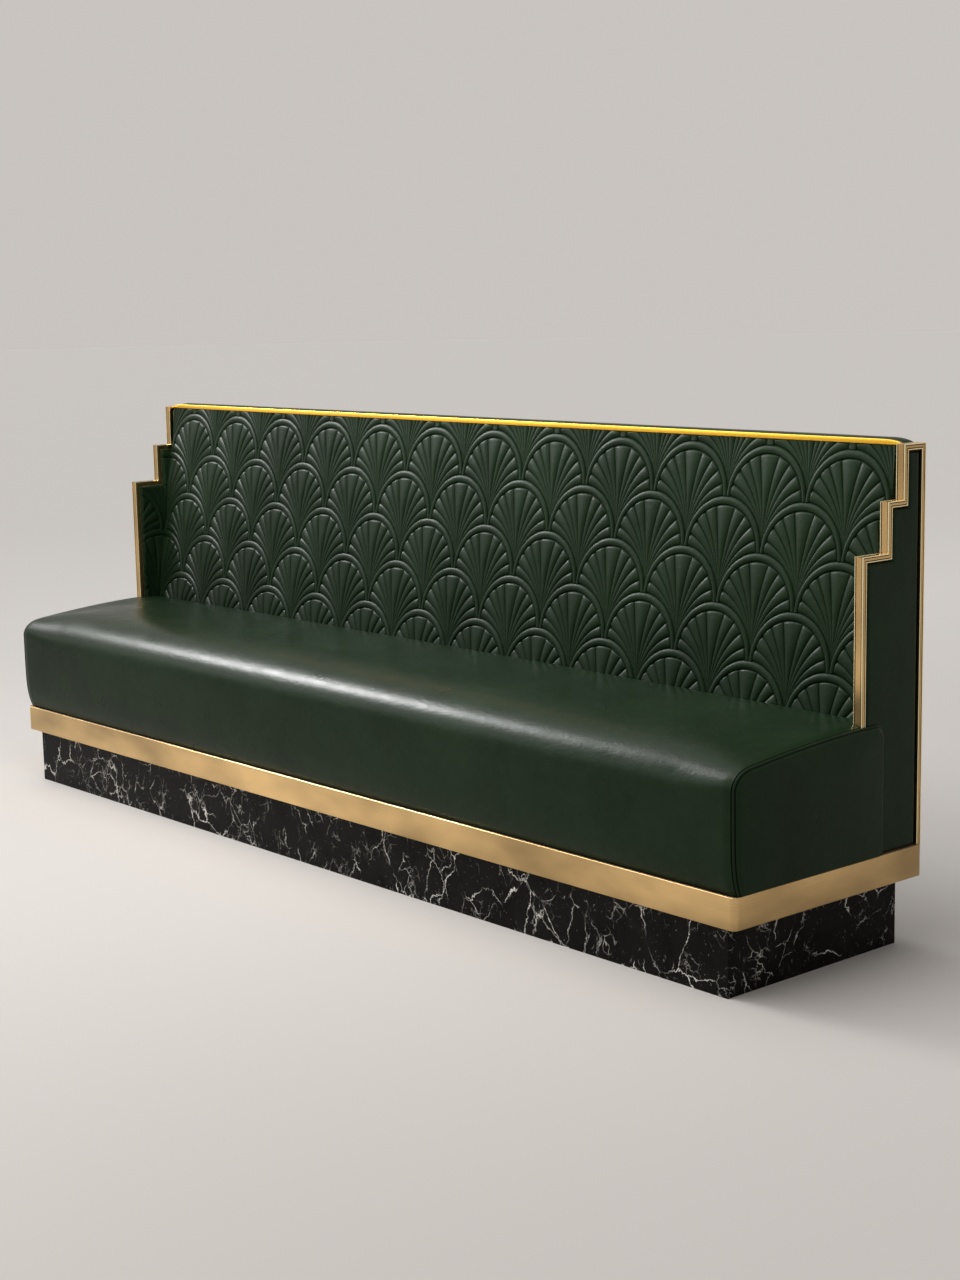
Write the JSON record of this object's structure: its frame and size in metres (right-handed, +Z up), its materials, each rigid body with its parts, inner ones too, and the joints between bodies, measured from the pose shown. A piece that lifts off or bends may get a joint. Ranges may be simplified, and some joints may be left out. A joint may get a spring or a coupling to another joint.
{
  "type": "upholstered banquette bench",
  "caption": "Long straight banquette bench: leather seat block, reclined scallop-quilted back, stepped metal end frames with padded infills, metal band and recessed stone plinth.",
  "frame": {"origin": "on the floor, at the middle of the bench's length and depth", "axes": "+X along the bench towards the right end seen from the front, +Y from the front to the back, +Z up"},
  "size_m": [2.812, 0.596, 1.08],
  "materials": {
    "marble": "polished black with white veins",
    "brass": "brushed satin",
    "gold_trim": "polished",
    "leather": "soft satin grain",
    "timber": "raw plywood",
    "foam": "open-cell foam",
    "webbing": "woven elastic webbing",
    "steel": "zinc plated"
  },
  "bodies": {
    "root": {"plinth_front_slab": "marble", "plinth_back_slab": "marble", "plinth_left_slab": "marble", "plinth_right_slab": "marble", "plinth_long_boards": "timber", "plinth_cross_boards": "timber", "base_board": "timber", "base_long_rails": "timber", "base_end_rails": "timber", "base_cross_rails": "timber", "seat_front_board": "timber", "seat_back_board": "timber", "seat_end_boards": "timber", "seat_ribs": "timber", "back_ribs": "timber", "back_foot_rail": "timber", "back_top_rail": "timber", "back_board": "timber", "end_core_left": "timber", "end_core_right": "timber", "brass_band": "brass", "end_frame_left": "brass", "end_frame_right": "brass", "seat_webbing": "webbing", "seat_foam": "foam", "back_foam": "foam", "seat_cover": "leather", "seat_end_pad_left": "leather", "seat_end_pad_right": "leather", "quilted_back": "leather", "rear_panel": "leather", "top_roll": "leather", "wing_pad_left": "leather", "wing_pad_right": "leather", "end_infill_left": "leather", "end_infill_right": "leather", "gold_strip": "gold_trim", "section_bolts": "steel", "end_core_screws": "steel"}
  },
  "joints": []
}
